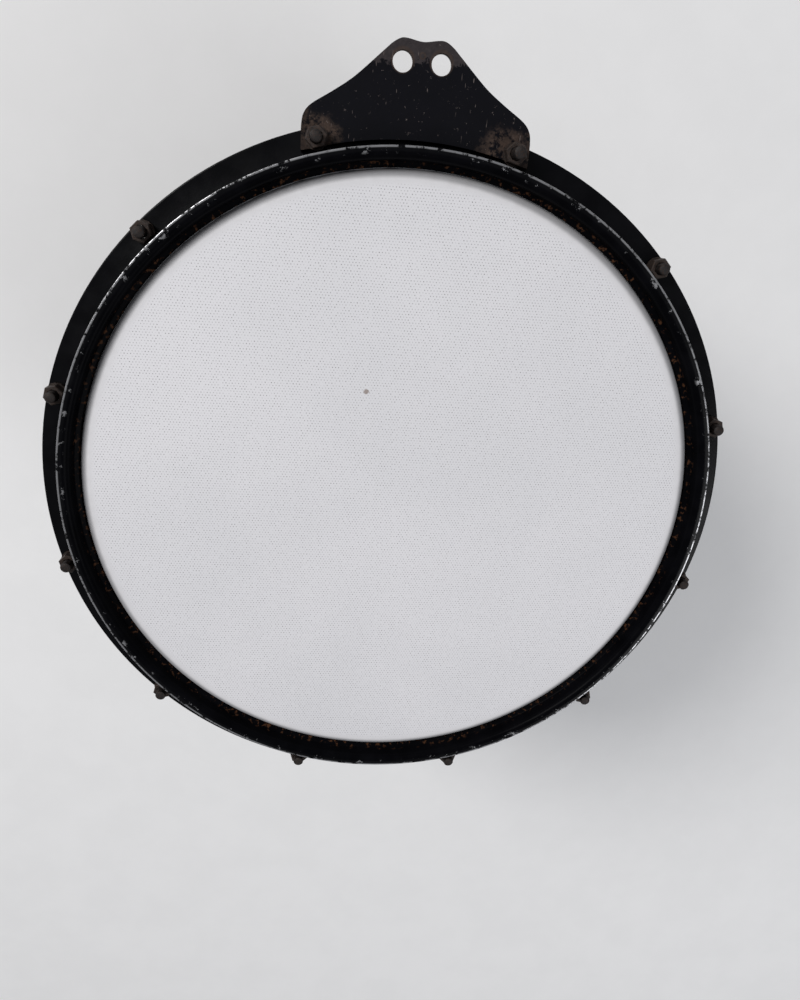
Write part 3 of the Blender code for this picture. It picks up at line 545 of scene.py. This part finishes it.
def fine_head(look):
    """The batter head: a flat film that rounds down into its collar."""
    centre = (FILM_FLAT, -FILM_SHOULDER)
    outer = arc(centre, FILM_SHOULDER, 90, 0, 12)
    inner = arc(centre, FILM_SHOULDER - FILM_THICKNESS, 0, 90, 8)
    outside = FILM_FLAT + FILM_SHOULDER
    skirt = [(outside, -FILM_SKIRT), (outside - FILM_THICKNESS, -FILM_SKIRT)]
    mesh = turned("batter_head_fine", in_metres(outer + skirt + inner), FINE_SIDES)
    stand_for("batter_head", mesh, look)


def plate_outline():
    """The plate's edge in millimetres: shoulders, concave flanks and two lobes over a lower arc."""
    mirrored = [(-x, y) for x, y in PLATE_HALF[::-1]]
    upper = smooth_curve(PLATE_HALF + [PLATE_MIDDLE] + mirrored, CURVE_STEPS)
    edge = math.degrees(math.atan2(PLATE_HALF[0][1], PLATE_HALF[0][0]))
    return upper + arc((0, 0), PLATE_LOWER_RADIUS, 180 - edge, edge, LOWER_EDGE_STEPS)[1:-1]


def fine_plate(look):
    """The sling plate, with bevelled edges, its sling holes and its two stud holes."""
    shape = bmesh.new()
    outline = in_metres(plate_outline())
    low, high = ([shape.verts.new((x, y, z)) for x, y in outline] for z in (PLATE_LOW.z, PLATE_HIGH.z))
    join_loops(shape, low, high)
    shape.faces.new(low)
    top = shape.faces.new(high)
    bmesh.ops.bevel(shape, geom=list(top.edges), offset=PLATE_BEVEL, segments=2, affect="EDGES")
    bmesh.ops.recalc_face_normals(shape, faces=shape.faces)
    mesh = to_mesh("sling_plate_fine", shape)
    hole_x, hole_y, hole_radius = (value / MM_PER_METRE for value in SLING_HOLES)
    holes = [(-hole_x, hole_y, hole_radius), (hole_x, hole_y, hole_radius)]
    holes += stud_holes()[PLATE_BOLTS]
    stand_for("sling_plate", mesh, look, holes, (PLATE_LOW.z + PLATE_HIGH.z) / 2)


def threaded_stud(number, place, tip, look):
    """The thread that shows above a nut, with a domed tip."""
    root = THREAD_RADIUS - THREAD_DEPTH
    profile = []
    height = THREAD_FOOT
    while height < tip - THREAD_PITCH:
        profile += [(root, height), (THREAD_RADIUS, height + THREAD_PITCH / 2)]
        height += THREAD_PITCH
    profile += [(root, tip - THREAD_PITCH / 2), (THREAD_RADIUS * TIP_SHARE, tip)]
    mesh = turned(f"stud_thread_{number:02d}", profile, SCREW_SIDES)
    mesh.transform(Matrix.Translation((*place, 0.0)))
    finish_surface(mesh, look)
    made = add_object(mesh.name, mesh)
    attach(made, "drum")


def threaded_studs(look):
    for index, place in enumerate(bolt_places()):
        threaded_stud(index + 1, place, PLATE_STUD_TIPS.get(index, STUD_TIP), look)


def screw(name, place, outward, look):
    """A domed screw head, seated on a foot of a base."""
    dome = [(SCREW_RADIUS * share, SCREW_HEIGHT * height) for height, share in SCREW_DOME]
    mesh = turned(name, dome, SCREW_SIDES)
    mesh.transform(Vector((0, 0, 1)).rotation_difference(outward).to_matrix().to_4x4())
    mesh.transform(Matrix.Translation(place))
    finish_surface(mesh, look, SCREW_SHARP_ANGLE)
    made = add_object(name, mesh)
    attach(made, "drum")


def base_screws(look):
    """Four screw heads on the strainer's base, and four on the butt's at the same heights."""
    low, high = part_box("strainer_base")
    rise = (high.z - low.z) * SCREW_ROW
    across = high.y - SCREW_MARGIN
    places = [(side * across, level) for level in (high.z - rise, low.z + rise) for side in (-1, 1)]
    for base, way in (("strainer_base", -1), ("butt_base", 1)):
        for number, (y, z) in enumerate(places, 1):
            place = Vector((way * SCREW_SEAT, y, z))
            screw(f"{base}_screw_{number}", place, Vector((way, 0, 0)), look)


def dress(looks):
    """Gives every node the look named for the longest matching start of its name."""
    for name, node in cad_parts.items():
        start = max((key for key in looks if name.startswith(key)), key=len)
        for place in node.material_slots:
            place.material = looks[start]


def area_light(name, place, target, size, power, colour):
    data = bpy.data.lights.new(name, "AREA")
    data.shape = "DISK"
    data.size = size
    data.energy = power
    data.color = colour
    made = add_object(name, data)
    made.location = place
    made.rotation_euler = (Vector(target) - Vector(place)).to_track_quat("-Z", "Y").to_euler()


def pale_floor():
    mesh = bpy.data.meshes.new("floor")
    corners = [(x * FLOOR_HALF, y * FLOOR_HALF, FLOOR) for x, y in ((-1, -1), (1, -1), (1, 1), (-1, 1))]
    mesh.from_pydata(corners, [], [(0, 1, 2, 3)])
    mesh.materials.append(plain("pale_floor", (0.93, 0.925, 0.92), (0.95, 0.945, 0.94), 0.7, 0.0, 20.0))
    add_object("floor", mesh)


def surroundings():
    """A pale floor, a white background to the camera and soft light from above."""
    pale_floor()
    world = bpy.data.worlds.new("studio")
    bpy.context.scene.world = world
    world.use_nodes = True
    tree = world.node_tree
    ambient = tree.nodes["Background"]
    ambient.inputs["Color"].default_value = (0.93, 0.95, 1.0, 1.0)
    ambient.inputs["Strength"].default_value = 0.30
    seen = tree.nodes.new("ShaderNodeBackground")
    seen.inputs["Color"].default_value = (1.0, 1.0, 1.0, 1.0)
    rays = tree.nodes.new("ShaderNodeLightPath")
    choice = tree.nodes.new("ShaderNodeMixShader")
    tree.links.new(rays.outputs["Is Camera Ray"], choice.inputs[0])
    tree.links.new(ambient.outputs[0], choice.inputs[1])
    tree.links.new(seen.outputs[0], choice.inputs[2])
    tree.links.new(choice.outputs[0], tree.nodes["World Output"].inputs["Surface"])
    area_light("key", (-1.9, 1.5, 1.8), (0, 0, 0), 1.3, 62.0, (1.0, 0.99, 0.98))
    area_light("fill", (1.2, -0.9, 1.5), (0, 0, 0), 1.2, 12.0, (0.97, 0.98, 1.0))


def camera():
    data = bpy.data.cameras.new("camera")
    data.lens = FOCAL_LENGTH
    data.sensor_width = SENSOR_WIDTH
    data.clip_start = CLIP_START
    back = -CAMERA_FORWARD.normalized()
    right = CAMERA_UP.cross(back).normalized()
    up = back.cross(right)
    made = add_object("camera", data)
    made.matrix_world = Matrix.Translation(CAMERA_PLACE) @ Matrix((right, up, back)).transposed().to_4x4()
    bpy.context.scene.camera = made


def main():
    bpy.context.scene.view_settings.view_transform = "Standard"
    camera()
    surroundings()
    zinc = plain("zinc", (0.38, 0.38, 0.37), (0.52, 0.52, 0.51), 0.32, 0.9, 220.0)
    steel = plain("plated_steel", (0.50, 0.50, 0.51), (0.62, 0.62, 0.63), 0.20, 1.0, 180.0)
    aluminium = plain("flesh_aluminium", (0.52, 0.53, 0.54), (0.64, 0.65, 0.67), 0.32, 1.0, 160.0)
    black = worn_black()
    film = woven_film()
    plate_look = sling_plate_look()
    rim = worn_rim()
    dress(
        {
            "": steel,
            "shell": lacquer(),
            "vent_grommet": plain("brass_eyelet", (0.45, 0.30, 0.10), (0.62, 0.44, 0.18), 0.28, 1.0, 200.0),
            "batter_head": film,
            "snare_head": plain("hazy_film", (0.62, 0.63, 0.62), (0.72, 0.73, 0.72), 0.30, 0.0, 60.0),
            "batter_flesh": aluminium,
            "snare_flesh": aluminium,
            "batter_hoop": rim,
            "snare_hoop": black,
            "sling_plate": plate_look,
            "tension_post": black,
            "batter_nut": rusted_steel("rusted_nut", (0.014, 0.010, 0.009), (0.060, 0.045, 0.038)),
            "snare_bolt": zinc,
            "snare_strands": plain("gut", (0.50, 0.40, 0.24), (0.66, 0.56, 0.38), 0.45, 0.0, 300.0),
            "strainer_base": black,
            "butt_base": black,
        }
    )
    base_screws(zinc)
    fine_hoop(rim)
    fine_head(film)
    fine_plate(plate_look)
    threaded_studs(rusted_steel("stud_steel", (0.006, 0.005, 0.005), (0.028, 0.024, 0.023)))


main()
